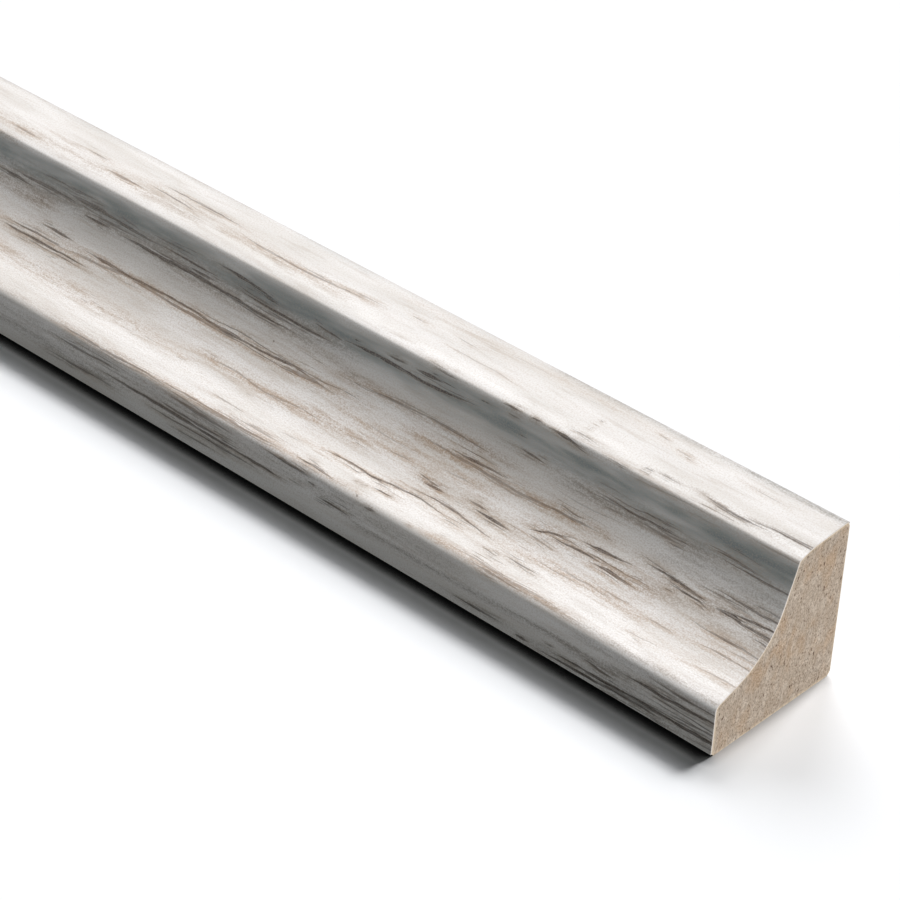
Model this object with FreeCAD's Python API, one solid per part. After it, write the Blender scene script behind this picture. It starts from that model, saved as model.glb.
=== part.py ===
import FreeCAD, Part
import math
import os

# Scotia moulding: a bar of MDF with a hollow face, wrapped in printed decor foil.
# The bar lies along X on its base, with the lip towards -Y and the flat back towards +Y.
# The origin is under the middle of the bar. Lengths are in millimetres and angles in degrees.

length = 2400.0            # one stock length, sawn square at both ends
section_depth = 19.0       # front of the lip to the back face, over the foil
section_height = 19.0      # base to the top of the land, over the foil
foil_thickness = 0.2       # printed foil and its glue line

lip_height = 6.1           # base to the line of the lower flank, at the front of the lip
lower_flank_angle = 18.5   # straight run behind the lip nose, up from level
cove_radius = 10.1         # hollow of the finished face, tangent to both flanks
upper_flank_angle = 70.0   # straight run below the arris, up from level
land_depth = 7.35          # back face to the line of the upper flank, along the land
land_fall_angle = 4.5      # fall of the land from the back to the arris

nose_radius = 0.9          # lip nose, over the foil
arris_radius = 1.0         # edge between the cove and the land, over the foil
top_back_radius = 0.6      # corner of the MDF that the foil turns over
heel_radius = 0.7          # corner of the MDF between the base and the back
toe_chamfer = 0.2          # corner of the MDF below the foil's lower edge
foil_floor_gap = 0.3       # the foil is trimmed this far above the base


def heading(angle):
    """Unit direction in the section, up from level towards the back."""
    turn = math.radians(angle)
    return FreeCAD.Vector(0, math.cos(turn), math.sin(turn))


def inward(run):
    """Into the material, which lies to the right of each run from the lip to the back."""
    return FreeCAD.Vector(0, run.z, -run.y)


front_y = -section_depth / 2
back_y = section_depth / 2
front_run = heading(90)
lower_run = heading(lower_flank_angle)
upper_run = heading(upper_flank_angle)
land_run = heading(land_fall_angle)
back_run = heading(-90)

# The foil and the MDF turn the top back corner about one centre.
top_back_centre = FreeCAD.Vector(
    0,
    back_y - top_back_radius,
    section_height - foil_thickness - top_back_radius,
)
wrapped_radius = top_back_radius + foil_thickness


def crossing(point_a, run_a, point_b, run_b):
    """Where two straight runs of the section meet."""
    gap = point_b - point_a
    spread = run_a.y * run_b.z - run_a.z * run_b.y
    reach = (gap.y * run_b.z - gap.z * run_b.y) / spread
    return point_a + run_a * reach


def rounding(corner, run_in, run_out, radius):
    """First, middle and last point of the arc that rounds a corner."""
    half_turn = run_in.getAngle(run_out) / 2
    setback = radius * math.tan(half_turn)
    to_centre = (run_out - run_in).normalize()
    centre = corner + to_centre * (radius / math.cos(half_turn))
    return corner - run_in * setback, centre - to_centre * radius, corner + run_out * setback


def straight(start, end):
    return Part.LineSegment(start, end).toShape()


def arc(points):
    return Part.Arc(*points).toShape()


def land_point(inset):
    """Where the land ends at the top back corner, this far below the foil's face."""
    return top_back_centre - inward(land_run) * (wrapped_radius - inset)


def decor_run(foot_height, inset):
    """Edges from the lip front to the back of the land, this far below the foil's face."""
    front = FreeCAD.Vector(0, front_y + inset, foot_height)
    lip_line = FreeCAD.Vector(0, front_y, lip_height) + inward(lower_run) * inset
    land_line = land_point(0)
    arris = land_line + land_run * ((back_y - land_depth - land_line.y) / land_run.y)
    cove_line = arris + inward(upper_run) * inset

    nose = rounding(
        crossing(front, front_run, lip_line, lower_run),
        front_run,
        lower_run,
        nose_radius - inset,
    )
    cove = rounding(
        crossing(lip_line, lower_run, cove_line, upper_run),
        lower_run,
        upper_run,
        cove_radius + inset,
    )
    edge = rounding(
        crossing(cove_line, upper_run, land_point(inset), land_run),
        upper_run,
        land_run,
        arris_radius - inset,
    )
    return [
        straight(front, nose[0]),
        arc(nose),
        straight(nose[2], cove[0]),
        arc(cove),
        straight(cove[2], edge[0]),
        arc(edge),
        straight(edge[2], land_point(inset)),
    ]


def bar(edges):
    """The closed section, run out to the full length about the middle."""
    solid = Part.Face(Part.Wire(edges)).extrude(FreeCAD.Vector(length, 0, 0))
    solid.translate(FreeCAD.Vector(-length / 2, 0, 0))
    return solid


def mdf_core():
    """The MDF under the foil, with its bare back and base."""
    face_y = front_y + foil_thickness
    shoulder = rounding(
        crossing(land_point(foil_thickness), land_run, FreeCAD.Vector(0, back_y, 0), back_run),
        land_run,
        back_run,
        top_back_radius,
    )
    heel = rounding(
        FreeCAD.Vector(0, back_y, 0),
        back_run,
        FreeCAD.Vector(0, -1, 0),
        heel_radius,
    )
    toe_base = FreeCAD.Vector(0, face_y + toe_chamfer, 0)
    toe_front = FreeCAD.Vector(0, face_y, toe_chamfer)
    return bar(
        decor_run(toe_chamfer, foil_thickness)
        + [
            arc(shoulder),
            straight(shoulder[2], heel[0]),
            arc(heel),
            straight(heel[2], toe_base),
            straight(toe_base, toe_front),
        ]
    )


def foil_wrap():
    """The foil, from just above the base over the land to flush with the back face."""
    land_angle = 90 + land_fall_angle
    flush_angle = math.degrees(math.acos(top_back_radius / wrapped_radius))
    middle_angle = (land_angle + flush_angle) / 2

    def turn(radius):
        return [top_back_centre + heading(a) * radius for a in (land_angle, middle_angle, flush_angle)]

    over = turn(wrapped_radius)
    under = turn(top_back_radius)
    foot = [FreeCAD.Vector(0, front_y + inset, foil_floor_gap) for inset in (foil_thickness, 0)]
    return bar(
        decor_run(foil_floor_gap, 0)
        + [arc(over), straight(over[2], under[2]), arc(under)]
        + decor_run(foil_floor_gap, foil_thickness)[::-1]
        + [straight(foot[0], foot[1])]
    )


os.makedirs("parts", exist_ok=True)
for node, build in (("mdf_core", mdf_core), ("foil_wrap", foil_wrap)):
    shape = build()
    shape.exportStep("parts/" + node + ".step")
    box = shape.BoundBox
    print(
        node,
        "valid" if shape.isValid() else "not valid",
        len(shape.Solids),
        "solid, volume",
        round(shape.Volume),
        "mm3, box",
        [round(v, 3) for v in (box.XMin, box.YMin, box.ZMin, box.XMax, box.YMax, box.ZMax)],
    )
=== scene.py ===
import math
import random
from functools import partial

import bpy
import numpy as np
from mathutils import Matrix, Vector, noise


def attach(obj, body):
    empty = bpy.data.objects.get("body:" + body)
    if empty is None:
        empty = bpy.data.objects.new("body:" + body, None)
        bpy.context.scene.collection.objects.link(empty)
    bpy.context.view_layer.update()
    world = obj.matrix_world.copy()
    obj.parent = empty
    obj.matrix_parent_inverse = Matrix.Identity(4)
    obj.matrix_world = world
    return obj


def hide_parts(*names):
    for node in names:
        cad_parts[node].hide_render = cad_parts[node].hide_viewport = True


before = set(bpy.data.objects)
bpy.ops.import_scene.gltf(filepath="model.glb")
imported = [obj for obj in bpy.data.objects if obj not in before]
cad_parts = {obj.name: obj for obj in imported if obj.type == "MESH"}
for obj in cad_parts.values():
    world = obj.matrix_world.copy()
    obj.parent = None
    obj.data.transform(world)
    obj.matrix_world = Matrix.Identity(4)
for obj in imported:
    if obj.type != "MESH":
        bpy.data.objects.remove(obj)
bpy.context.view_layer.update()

# Scotia moulding: an MDF bar wrapped in printed whitewashed oak foil, lying on a white floor.
# Section sizes are in millimetres and degrees, and the meshes are in metres.

mm = 0.001


def linear(hexColour):  # sRGB hex to the linear colour that the shaders take
    parts = [int(hexColour[i:i + 2], 16) / 255 for i in (1, 3, 5)]
    return tuple(c / 12.92 if c <= 0.04045 else ((c + 0.055) / 1.055) ** 2.4 for c in parts) + (1.0,)


# One node with its settings, values and links. Inputs come in order, by name or by number,
# and a node that is given as an input stands for its first output in use.
# In a Mix node, input 0 is the share, 6 is the colour under and 7 is the colour over.
def addNode(tree, kind, inputs=(), **settings):
    made = tree.nodes.new("ShaderNode" + kind)
    for name, value in settings.items():
        setattr(made, name, value)
    for socket, value in inputs.items() if isinstance(inputs, dict) else enumerate(inputs):
        if isinstance(value, bpy.types.Node):
            value = next(output for output in value.outputs if output.enabled)
        if isinstance(value, bpy.types.NodeSocket):
            tree.links.new(value, made.inputs[socket])
        else:
            made.inputs[socket].default_value = value
    return made


smooth = {"interpolation_type": "SMOOTHSTEP"}   # for a ramp that eases in and out


# The noises of a table: grain along each axis of the space, shift, detail and roughness.
def addNoises(node, space, table, unit=1.0, stagger=(1.0, 1.0, 1.0)):
    made = {}
    for name, (sizes, shift, detail, rough) in table.items():
        rates = [1 / (size * unit) for size in sizes]
        shifts = [shift * share for share in stagger]
        scaled = node("VectorMath", (space, rates, shifts), operation="MULTIPLY_ADD")
        settings = {"Vector": scaled, "Scale": 1.0, "Detail": detail, "Roughness": rough}
        made[name] = node("TexNoise", settings)
    return made


def newMaterial(name):  # a material, and the function that adds its nodes
    made = bpy.data.materials.new(name)
    made.use_nodes = True
    made.node_tree.nodes.clear()
    return made, partial(addNode, made.node_tree)


# Section of the moulding

section = {
    "length": 2400.0,
    "depth": 19.0,
    "height": 19.0,
    "foil": 0.2,
    "foilFoot": 0.3,           # where the foil stops above the floor
    "lipHeight": 6.1,
    "lowerFlank": 18.5,
    "coveRadius": 10.1,
    "upperFlank": 70.0,
    "landDepth": 7.65,
    "landFall": 4.5,
    "noseRadius": 0.9,
    "arrisRadius": 0.4,        # the tight turn at the top of the flank
    "crownAngle": 24.0,        # where the tight turn gives way to the soft crown of the land
    "crownRadius": 7.5,
    "topBackRadius": 0.6,
    "heelRadius": 0.7,
    "toeChamfer": 0.25,
}


def along(angle):
    return np.array([math.cos(math.radians(angle)), math.sin(math.radians(angle))])


def outward(angle):  # left of a run that goes from the lip to the back
    return np.array([-math.sin(math.radians(angle)), math.cos(math.radians(angle))])


def spread(start, end, count):  # values or points from start to end, in equal steps
    return [start + (end - start) * k / count for k in range(count + 1)]


def meet(pointA, angleA, pointB, angleB):
    reach = np.linalg.solve(np.array([along(angleA), -along(angleB)]).T, pointB - pointA)[0]
    return pointA + along(angleA) * reach


def roundCorner(corner, angleIn, angleOut, radius, steps):
    half = math.radians(abs(angleOut - angleIn)) / 2
    side = 1 if angleOut > angleIn else -1     # 1 where the run turns up, as in the cove
    centre = corner + (along(angleOut) - along(angleIn)) / (2 * math.sin(half)) * radius / math.cos(half)
    return [(centre - side * radius * outward(a), a) for a in spread(angleIn, angleOut, steps)]


# A tight arc and then a soft one, which meet at the middle angle.
def crownCorner(corner, angleIn, angleMid, angleOut, tight, soft, steps):
    apart = outward(angleMid) * (soft - tight) - outward(angleOut) * soft + outward(angleIn) * tight
    reach = np.linalg.solve(np.array([along(angleIn), -along(angleOut)]).T, apart)
    tightCentre = corner + along(angleIn) * reach[0] - outward(angleIn) * tight
    softCentre = corner + along(angleOut) * reach[1] - outward(angleOut) * soft
    turn = [(tightCentre + outward(a) * tight, a) for a in spread(angleIn, angleMid, steps)[:-1]]
    return turn + [(softCentre + outward(a) * soft, a) for a in spread(angleMid, angleOut, steps)]


def backCorner():  # centre of the turn at the top of the back, and the heading where the foil ends flush
    radius = section["topBackRadius"]
    centre = np.array([section["depth"] / 2 - radius, section["height"] - section["foil"] - radius])
    return centre, math.degrees(math.acos(radius / (radius + section["foil"]))) - 90


def faceRun(inset, foot, steps):  # points and headings from the lip front to the back of the land
    s = section
    lower, upper, fall = s["lowerFlank"], s["upperFlank"], s["landFall"]
    frontY, backY = -s["depth"] / 2, s["depth"] / 2
    centre, flush = backCorner()
    wrapRadius = s["topBackRadius"] + s["foil"]
    landEnd = centre + outward(fall) * wrapRadius
    arris = landEnd + along(fall) * (backY - s["landDepth"] - landEnd[0]) / along(fall)[0]
    lipPoint = np.array([frontY, s["lipHeight"]]) - outward(lower) * inset
    covePoint = arris - outward(upper) * inset
    landPoint = landEnd - outward(fall) * inset
    front = np.array([frontY + inset, foot])
    noseCorner = meet(front, 90, lipPoint, lower)
    nose = roundCorner(noseCorner, 90, lower, s["noseRadius"] - inset, steps["nose"])
    coveCorner = meet(lipPoint, lower, covePoint, upper)
    cove = roundCorner(coveCorner, lower, upper, s["coveRadius"] + inset, steps["cove"])
    edge = crownCorner(
        meet(covePoint, upper, landPoint, fall), upper, s["crownAngle"], fall,
        s["arrisRadius"] - inset, s["crownRadius"] - inset, steps["arris"],
    )
    back = [(centre + outward(a) * (wrapRadius - inset), a) for a in spread(fall, flush, steps["back"])]

    def between(start, end, angle, count):
        return [(point, angle) for point in spread(start, end, count)[1:-1]]

    return (
        [(front, 90)] + between(front, nose[0][0], 90, steps["front"])
        + nose + between(nose[-1][0], cove[0][0], lower, steps["lower"])
        + cove + between(cove[-1][0], edge[0][0], upper, steps["upper"])
        + edge + between(edge[-1][0], back[0][0], fall, steps["land"])
        + back
    )


def girthOf(points):  # distance along the outline from its first point
    steps = [0.0] + [float(np.linalg.norm(b - a)) for a, b in zip(points, points[1:])]
    return np.cumsum(steps)


def makeObject(name, vertices, faces):
    mesh = bpy.data.meshes.new(name)
    mesh.from_pydata(vertices, [], faces)
    mesh.update()
    made = bpy.data.objects.new(name, mesh)
    bpy.context.scene.collection.objects.link(made)
    return made


# Figure of the printed oak
# Places are (mm back from the sawn end, mm up the girth from the foil's foot).

figure = {
    "layers": 8,
    "zone": 0.8,            # half width, in mm, of the strip that one mark owns
    "overrun": 0.8,         # mm that the strip goes on past the ends of its mark
    "softEnd": 0.04,        # mm of blur at the edge of a mark
    "boldness": 0.98,
    "darkness": 1.15,
    "taper": 6.0,           # mm over which a mark thins out at its ends
    "taperShare": 0.45,     # and at most this share of its length
    "taperPower": 0.75,
    "fadeRate": 1.5,        # a mark pales later than it thins
    "fadePower": 0.7,
    "endDrop": 0.2,         # mm taken off the half width past the ends
    "warmth": 0.4,          # brownness where there is no mark
    "stainFade": (0.5, 0.25, 2.5),  # mm of fade at a stain's ends: least, share of its length, most
    "shownLength": 150.0,   # the listed marks lie on this much of the bar
    "flankShadeCentre": 21.1,     # mm up the girth: painted shade greys the upper flank, which faces away from the key light
    "flankShadeHalf": 1.7,
    "paintedShade": 0.68,
    # the flank's painted shade ends sharply just below the arris, where the lit crown begins
    "flankShadeEnd": 22.8,
    "flankShadeEdge": 0.3,
    # painted shade that dims the land past the crown, so that the crown by the arris reads brighter
    "landShade": 0.05,
    "landStart": 23.9,
    "landEdge": 0.6,
    # painted shade along the round at the back edge of the land
    "backShade": 0.22,
    "backHalf": 0.9,
    "coveTan": 0.15,        # the print is warmer along the cove
    "coveCentre": 13.5,
    "coveHalf": 4.0,
    "seed": 11,
    "farSeed": 5,
    "knotOverlap": 25,          # mm that the knots come into the length with the listed marks
    "knotSpacing": (1.6, 5.0),  # mm
    "knotMarks": (1, 2, 3, 4, 6),
    "knotReach": (7, 9, 12, 16, 24),    # mm
    "knotStained": 0.45,        # share of the knots that lie in a stain
}
noMark = (9.0, -1.0, 0.0)   # offset, half width and darkness where a layer holds no mark


def strokes(count, rows):  # a row holds its settings, and then the places of its points one after another
    return [(list(zip(row[count::2], row[count + 1::2])), *row[:count]) for row in rows]


# width in mm, darkness and brownness, and then the points
handMarks = strokes(3, [
    # front of the lip
    (0.34, 0.75, 0.15, -63, 5.3, -58, 5.2, -54.3, 5),
    (0.26, 0.7, 0.2, -47.6, 5.3, -45.6, 5.4),
    (0.34, 0.6, 0.2, -55.8, 4.3, -54.3, 4.35),
    (0.14, 0.35, 0.2, -52.5, 4.7, -49, 4.5),
    (0.26, 0.75, 0.15, -55, 3.2, -51.5, 3.2, -48.5, 3.15),
    (0.14, 0.35, 0.2, -59, 3.4, -56, 3.4),
    (0.3, 0.7, 0.15, -35.2, 0.95, -32, 1, -27, 1),
    (0.3, 0.75, 0.15, -26.2, 0.6, -23.6, 0.6),
    (0.18, 0.6, 0.15, -22.2, 1.75, -20.2, 1.7),
    (0.36, 0.65, 0.2, -17.2, 2.55, -15.5, 2.45, -14, 2.2, -12, 2.15),
    (0.2, 0.7, 0.2, -13.2, 2.85, -12.6, 2.6),
    (0.34, 0.9, 0.15, -13, 3.4, -9, 3.6, -4, 3.6, 4, 3.95),
    (0.26, 0.65, 0.15, -9.5, 4.9, -5, 4.7, 4, 4.8),
    (0.14, 0.35, 0.15, -11, 3.05, -5, 3.1, 4, 3.35),
    (0.34, 0.9, 0.15, -22, 1.1, -14, 1.2, -10, 1.3, -4, 1.35, 4, 1.3),
    (0.3, 0.85, 0.15, -24, 0.4, -17, 0.5, -12, 0.7, -5, 0.8),
    (0.16, 0.6, 0.15, -14.5, 1.6, -8, 1.55, -4, 1.7, 4, 1.8),
    (0.22, 0.6, 0.15, -7.5, 1.9, -3, 2.1, 4, 2.45),
    (0.2, 0.5, 0.15, -4.5, 0.5, 4, 0.6),
    (0.4, 0.6, 0.2, -79, 5.2, -72, 5, -66, 4.7),
    (0.3, 0.7, 0.2, -81, 3.6, -73, 3.5, -66, 3.6),
    (0.3, 0.8, 0.2, -90, 3.1, -75, 3, -66, 2.8, -57.5, 2.9),
    (0.26, 0.6, 0.2, -82, 2.1, -72, 2.2, -62, 2.1),
    (0.2, 0.5, 0.2, -78, 1.2, -68, 1.2),
    (0.3, 0.6, 0.2, -98, 4.3, -91, 4.2, -84, 4.4),
    (0.3, 0.6, 0.2, -99, 1.7, -90, 1.8, -85, 1.7),
    # nose and lower flank
    (0.26, 0.6, 0.6, -97, 5.95, -88, 5.8, -82, 6, -77, 5.75),
    (0.22, 0.6, 0.7, -81, 6, -74, 6.1, -66, 6.1, -59, 6.4),
    (0.18, 0.5, 0.8, -70, 6.6, -65, 6.9, -59.5, 6.8),
    (0.24, 0.75, 0.5, -59, 6.45, -55.5, 6.5, -51.5, 6.2),
    (0.2, 0.6, 0.5, -49.2, 6.3, -48.4, 5.8),
    (0.26, 0.75, 0.4, -41.9, 6.15, -41.1, 6.15),
    (0.26, 0.5, 0.9, -37, 6.3, -32, 6.5, -28, 6.1, -23, 6.4, -19, 6.3),
    (0.2, 0.5, 0.8, -34, 6, -29, 5.85, -24, 5.9),
    (0.16, 0.4, 0.5, -73.5, 7.9, -70, 7.9, -66.8, 7.8),
    (0.14, 0.3, 0.5, -62.5, 8, -58.5, 8.05),
    (0.14, 0.4, 0.7, -67.5, 7, -61, 7.1),
    (0.19, 0.85, 0.6, -58, 8.75, -52, 8.9, -49, 8.8, -46.5, 9.3, -43, 9.45, -40, 9.2, -37.5, 8.75),
    (0.14, 0.5, 0.5, -49.5, 8.35, -45.5, 8.65),
    (0.14, 0.5, 0.5, -39.5, 8.7, -35.5, 8.7),
    (0.2, 0.8, 0.45, -48.3, 7.65, -44.8, 7.95),
    (0.12, 0.5, 0.4, -50.6, 7.3, -49.3, 7.65),
    (0.12, 0.5, 0.4, -49.8, 7.2, -48.4, 7.6),
    (0.2, 0.75, 0.4, -33.2, 8.2, -30.2, 8.1),
    (0.2, 0.75, 0.4, -30.5, 8.7, -28, 8.5, -25, 8.6),
    (0.12, 0.35, 0.5, -32.5, 7.6, -28.5, 7.6),
    (0.16, 0.4, 0.9, -6.5, 8.3, -3, 8.5, 4, 8.7),
    (0.13, 0.3, 0.7, -14.5, 8, -8.5, 8.3),
    (0.13, 0.4, 0.6, -12.8, 7.8, -10.8, 7.6),
    # cove
    (0.21, 0.75, 0.45, -46, 9.85, -41, 10.2, -38, 10.15, -35, 9.7, -31, 9.35),
    (0.14, 0.5, 0.5, -38.5, 9.6, -34.5, 9.55),
    (0.15, 0.4, 0.95, -27.5, 10.3, -20, 10.4, -14.5, 9.8),
    (0.12, 0.35, 0.95, -30, 9.9, -24, 9.8, -18, 10.1),
    (0.12, 0.35, 0.95, -22, 10.9, -17, 10.7, -13, 10.8),
    (0.15, 0.4, 0.8, -13.5, 10.6, -8.5, 10.4),
    (0.15, 0.45, 0.8, -8.5, 10.6, -4, 11, 4, 10.7),
    (0.2, 0.85, 0.6, -45.2, 11.75, -42.6, 11.55),
    (0.22, 0.9, 0.7, -43.8, 11.5, -41.6, 11.55),
    (0.22, 0.85, 0.7, -44, 11.2, -40.4, 11.3),
    (0.18, 0.8, 0.7, -43.4, 11, -42, 11.9),
    (0.24, 0.8, 0.4, -38.4, 11.9, -34.6, 11.9),
    (0.24, 0.85, 0.4, -37.6, 11.4, -34, 11.35, -31, 11.15),
    (0.15, 0.5, 0.5, -30.8, 11.95, -25, 11.65),
    (0.25, 0.9, 0.5, -30.6, 12.2, -28.5, 12.8, -27.5, 13.2, -24.8, 13.65),
    (0.2, 0.8, 0.5, -28.5, 12.85, -24, 13, -18.5, 13),
    (0.3, 0.9, 0.6, -22.6, 12.5, -19.5, 12.6, -14.8, 12.3),
    (0.16, 0.5, 0.8, -19, 13, -16, 13.3, -13.5, 13.2),
    (0.22, 0.6, 0.5, -14.3, 12.45, -13.4, 12.35),
    (0.2, 0.65, 0.5, -9.6, 12.45, -6, 12.3, 4, 12.15),
    (0.12, 0.3, 0.8, -5, 11.6, 4, 11.7),
    (0.15, 0.45, 0.7, -50.6, 12.35, -45.6, 12.4),
    (0.14, 0.3, 0.8, -44.5, 13.4, -36.5, 13.65),
    (0.14, 0.3, 0.8, -56, 13.9, -51, 13.5, -45.5, 13.4),
    (0.32, 0.9, 0.4, -24.6, 13.95, -22, 14.1, -19.6, 14.2, -16.8, 14.4),
    (0.24, 0.8, 0.4, -13.6, 14.55, -9, 14.4, -6.6, 13.95),
    (0.16, 0.6, 0.4, -13.3, 13.9, -11.6, 13.9),
    (0.28, 0.9, 0.35, -17, 15.35, -13.5, 15.25, -10.5, 15, -7.4, 14.75),
    (0.34, 0.9, 0.35, -7.4, 14.7, -4.5, 14.85, -2.2, 14.15),
    (0.24, 0.85, 0.3, -6.6, 14.95, -2, 15.3, 4, 15.5),
    (0.22, 0.8, 0.3, -6, 14.65, -2, 14.5, 4, 14.4),
    (0.2, 0.7, 0.3, -3, 13.8, 4, 13.7),
    (0.2, 0.7, 0.3, -9.6, 16.35, -3, 16.2, 4, 16.45),
    (0.14, 0.45, 0.3, -5, 16.9, 4, 16.95),
    (0.14, 0.45, 0.4, -8.5, 15.8, -1.5, 15.7),
    (0.26, 0.95, 0.5, -44.3, 15.65, -40, 15.7, -34, 15.95),
    (0.26, 0.55, 0.95, -48, 15.3, -40, 15.2, -33, 15.1, -28, 15.5, -21, 15.6),
    (0.16, 0.4, 0.95, -41, 14.9, -34, 14.8, -28, 15.1),
    (0.13, 0.6, 0.5, -29.6, 16.05, -27.5, 16.3, -25.5, 16, -23.5, 16.25),
    (0.22, 0.6, 0.6, -58, 17.05, -50, 17.3, -44, 17.5, -36.5, 17.25),
    (0.14, 0.4, 0.6, -56, 17.4, -49, 17.6, -42, 17.75),
    (0.13, 0.3, 0.5, -31, 17.4, -24, 17.3, -18, 17.5),
    (0.25, 0.85, 0.5, -101.5, 15.1, -97, 15.1, -93, 15.05, -86, 15.2, -80, 15, -76, 14.9, -72, 14.9, -66,
     15.2, -63.5, 15, -61, 15.3),
    (0.2, 0.55, 0.9, -103.5, 14.3, -98, 14.5, -93, 14.9, -88, 14.8, -82, 14.5, -77, 14.6, -71, 14.7),
    (0.2, 0.55, 0.9, -70.5, 14.5, -66, 14.75, -63, 14.9, -57.5, 14.6),
    (0.3, 0.8, 0.4, -108.5, 15.35, -105.5, 15.4, -102, 15.3),
    (0.24, 0.8, 0.5, -114.5, 14, -107, 14.2, -101.5, 14.1),
    (0.26, 0.85, 0.4, -115, 13.3, -106, 13.5, -97.5, 13.5),
    (0.15, 0.45, 0.95, -79, 11.4, -72, 11.6, -68, 11.2, -62, 11.5, -57.5, 11.3),
    (0.12, 0.35, 0.95, -70, 10.9, -66, 11.1, -61, 10.9),
    # upper flank
    (0.32, 0.9, 0.1, -62, 20.5, -55, 20.9, -50, 20.7, -45, 20.9, -40.5, 21.15),
    (0.26, 0.8, 0.1, -59.6, 21.2, -58.4, 21.2),
    (0.28, 0.75, 0.1, -55, 21.45, -51.5, 21.6),
    (0.3, 0.9, 0.1, -51, 21.65, -46.2, 21.7),
    (0.18, 0.6, 0.2, -41.8, 22, -39.6, 22.05),
    (0.16, 0.6, 0.2, -38, 22.1, -35.6, 22.2),
    (0.14, 0.4, 0.2, -36, 20.75, -34, 20.7),
    (0.22, 0.75, 0.4, -36, 19.2, -33.5, 19.3, -30.6, 19.2),
    (0.26, 0.75, 0.25, -26, 19.2, -20, 19.05, -14, 19.25, -11, 19.3),
    (0.18, 0.6, 0.25, -21, 19.6, -17, 19.85, -12, 19.7),
    (0.18, 0.5, 0.3, -20, 18.7, -16, 18.55, -11.5, 18.7),
    (0.14, 0.4, 0.5, -24, 18.2, -19, 18.3),
    (0.16, 0.5, 0.3, -27, 18.75, -23, 18.85, -18.5, 18.95),
    (0.18, 0.6, 0.3, -17.5, 19, -14, 18.95, -11, 19.05),
    (0.14, 0.5, 0.5, -15.5, 18.3, -12, 18.25),
    (0.18, 0.65, 0.3, -10.5, 19.8, -7, 19.85, -3, 19.75),
    (0.2, 0.7, 0.3, -10.3, 19.3, -5, 19.3, 4, 19.4),
    (0.13, 0.4, 0.2, -9, 20.9, -5, 20.75, -2.5, 20.6),
    (0.14, 0.35, 0.2, -25.5, 20.2, -20.5, 20.3),
    (0.12, 0.18, 0.2, -15.5, 21.9, -8.5, 22.1),
    (0.36, 0.85, 0.1, -82.3, 21.3, -78, 21.25, -74, 21.05, -70, 20.65),
    (0.34, 0.7, 0.1, -73.6, 20.8, -70.6, 20.55),
    (0.22, 0.8, 0.1, -66, 20.65, -62, 20.5, -60, 20.3),
    (0.26, 0.9, 0.1, -78, 19.9, -72, 19.7, -66, 19.5, -60.5, 19.7),
    (0.22, 0.85, 0.15, -91, 20, -84, 20.05, -80, 19.95, -78.6, 19.7),
    (0.2, 0.75, 0.15, -86, 19.55, -82, 19.35, -79, 19.4),
    (0.3, 0.7, 0.15, -107, 20.2, -99, 20.15, -94, 20, -88, 19.9),
    (0.3, 0.7, 0.2, -116, 19.7, -108, 19.65, -101, 19.6),
    (0.24, 0.6, 0.2, -103, 19.45, -96, 19.4, -90, 19.5),
    (0.22, 0.6, 0.2, -93, 19.25, -86, 19.15, -80, 19.05),
    (0.2, 0.55, 0.2, -76, 19.2, -70, 19.1, -64, 19.2),
    (0.26, 0.5, 0.1, -112, 20.75, -104, 20.9, -98, 21),
    (0.22, 0.5, 0.1, -92, 20.7, -86, 20.85, -83, 20.9),
    (0.32, 0.85, 0.2, -97, 18.75, -90, 18.8, -84, 18.9, -76, 18.6, -66.5, 18.4),
    (0.18, 0.65, 0.3, -79, 18.45, -72, 18.2, -68, 18.1),
    (0.34, 0.85, 0.2, -102.5, 18.95, -97, 18.8),
    (0.34, 0.8, 0.2, -119, 19.05, -114, 19, -110, 18.9),
    (0.3, 0.7, 0.15, -104.5, 20.3, -98.5, 20.35),
    (0.22, 0.5, 0.15, -97, 20.8, -93, 20.5),
    (0.14, 0.3, 0.6, -67, 17.1, -61, 16.9),
    # arris
    (0.14, 0.5, 0.3, -49, 22.7, -44, 22.75),
    (0.18, 0.75, 0.3, -39, 22.75, -35.6, 22.85),
    (0.18, 0.8, 0.3, -35.2, 22.9, -32.8, 22.95),
    (0.22, 0.85, 0.35, -32.8, 22.9, -30, 22.8, -26.5, 22.45),
    (0.14, 0.34, 0.6, -22.5, 22.45, -18, 22.6, -14, 22.7, -8.6, 22.65),
    (0.12, 0.3, 0.6, -8.6, 22.65, -4, 22.7, 4, 22.8),
    (0.12, 0.5, 0.3, -25.5, 23.05, -21, 22.95),
    # land
    (0.14, 0.55, 0.3, -31, 23.95, -28, 23.9, -25.8, 23.7),
    (0.18, 0.6, 0.2, -20.8, 24.05, -18.8, 24.1),
    (0.14, 0.5, 0.2, -19, 24.25, -15.6, 24.3),
    (0.24, 0.8, 0.25, -14.5, 24.65, -11, 24.35, -8, 24.2, -3.5, 24.3),
    (0.2, 0.75, 0.25, -8.5, 24.5, -4, 24.75, 4, 24.85),
    (0.16, 0.65, 0.25, -5.5, 24.95, 4, 25.1),
    (0.12, 0.4, 0.5, -23.3, 29.1, -20.6, 28.75),
    (0.14, 0.5, 0.5, -20.4, 28.35, -17, 28),
    (0.12, 0.35, 0.5, -12.5, 28.65, -8, 28.35, -4.5, 28.2),
    (0.13, 0.35, 0.5, -50.5, 27.8, -45.5, 27.7),
    (0.13, 0.4, 0.5, -56.5, 27.5, -53.2, 27.5),
    (0.16, 0.3, 0.7, -51, 25.95, -43, 25.9, -36.8, 25.55),
    (0.12, 0.2, 0.6, -45, 29.2, -35, 29.35),
    (0.22, 0.8, 0.3, -29, 25.05, -28.4, 25.15),
    (0.2, 0.7, 0.3, -29, 26.75, -28.3, 26.65),
    (0.22, 0.8, 0.3, -45.8, 23.45, -45.1, 23.35),
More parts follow.
